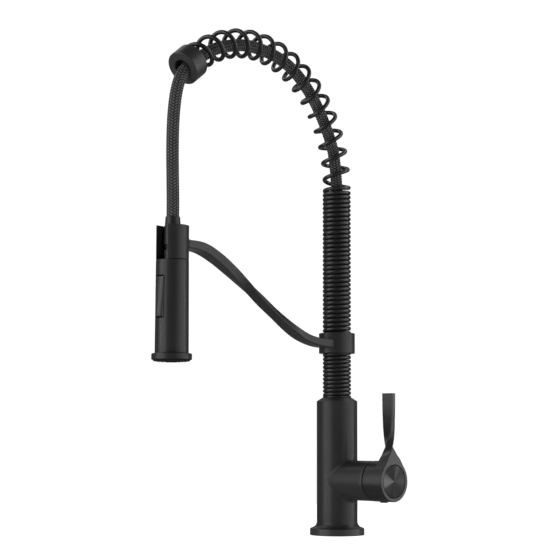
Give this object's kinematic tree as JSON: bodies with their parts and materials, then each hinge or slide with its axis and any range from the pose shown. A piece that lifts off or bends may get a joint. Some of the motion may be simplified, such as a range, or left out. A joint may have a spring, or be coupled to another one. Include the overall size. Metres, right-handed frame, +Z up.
{
  "type": "pull-down kitchen faucet",
  "caption": "Matte black pull-down kitchen faucet: spring-wrapped riser and arched hose, twisted docking arm, cylindrical spray head and side lever on a hub.",
  "frame": {"origin": "where the vertical riser axis meets the worktop plane, at the centre of the foot", "axes": "+Z up along the riser, -Y from the riser towards the spray head, +X towards the lever hub"},
  "size_m": [0.105, 0.2696, 0.5563],
  "materials": {
    "black_coat": "fine matte black powder coat",
    "black_spring": "matte black coated spring wire",
    "black_head": "matte black coated plastic casing",
    "black_plastic": "moulded satin black plastic",
    "black_rubber": "soft black rubber",
    "braided_hose": "tight woven black nylon braid",
    "brushed_cap": "black disc turned with fine circular lines",
    "grey_face": "satin dark grey plastic",
    "brass": "machined brass",
    "zinc_steel": "zinc plated steel",
    "stainless": "drawn stainless steel",
    "nylon": "natural engineering plastic",
    "ceramic": "lapped alumina disc, carried as dense gloss plastic"
  },
  "bodies": {
    "base": {"valve_body": "black_coat", "foot_gasket": "black_rubber", "mounting_shank": "brass", "rubber_washer": "black_rubber", "steel_washer": "zinc_steel", "mounting_nut": "brass", "nut_screws": "zinc_steel", "cartridge_housing": "nylon", "cartridge_seals": "black_rubber", "fixed_disc": "ceramic", "cartridge_retainer": "nylon", "cartridge_nut": "brass"},
    "handle": {"lever_handle": "black_coat", "handle_cap": "brushed_cap", "handle_set_screw": "zinc_steel", "set_screw_plug": "black_plastic", "cartridge_stem": "brass", "moving_disc": "ceramic"},
    "spout": {"riser_base": "black_coat", "riser_orings": "black_rubber", "retaining_ring": "zinc_steel", "swivel_washer": "black_plastic", "riser_tube": "black_coat", "lower_spring": "black_spring", "arm_collar": "black_coat", "collar_set_screw": "zinc_steel", "riser_spring": "black_spring", "arch_spring": "black_spring", "spring_end_collar": "black_coat", "hose_grommet": "black_rubber", "hose_tail": "brass", "hose_arch": "braided_hose", "dock_arm": "black_coat", "dock_holder": "black_coat", "holder_liner": "black_plastic"},
    "neck": {"hose_drop": "braided_hose", "hose_ferrule": "black_coat", "swivel_ring": "black_plastic", "swivel_oring": "black_rubber"},
    "head": {"head_shell": "black_head", "head_rim": "black_head", "spray_face": "grey_face", "spray_nozzles": "black_rubber", "aerator": "grey_face", "waterway": "nylon", "check_valve": "nylon", "rocker_pin": "stainless", "diverter_plunger": "stainless"},
    "button": {"rocker_button": "black_plastic"}
  },
  "joints": [
    {"name": "spout_swivel", "type": "hinge", "parent": "base", "child": "spout", "pos_m": [0, 0, 0.12], "axis": [0, 0, 1], "range_deg": [-90, 90]},
    {"name": "handle_turn", "type": "hinge", "parent": "base", "child": "handle", "pos_m": [0.05, 0, 0.055], "axis": [1, 0, 0], "range_deg": [0, 90]},
    {"name": "head_pull", "type": "slide", "parent": "spout", "child": "neck", "axis": [0, 0, -1], "range_m": [0, 0.1], "stiffness_N_per_m": 60, "springref_m": -0.1, "deforming": ["hose_drop"]},
    {"name": "head_swivel", "type": "hinge", "parent": "neck", "child": "head", "pos_m": [0, -0.223, 0.26], "axis": [0, 0, 1], "continuous": true},
    {"name": "rocker_tilt", "type": "hinge", "parent": "head", "child": "button", "pos_m": [0, -0.2356, 0.2256], "axis": [1, 0, 0], "range_deg": [0, 10]}
  ]
}
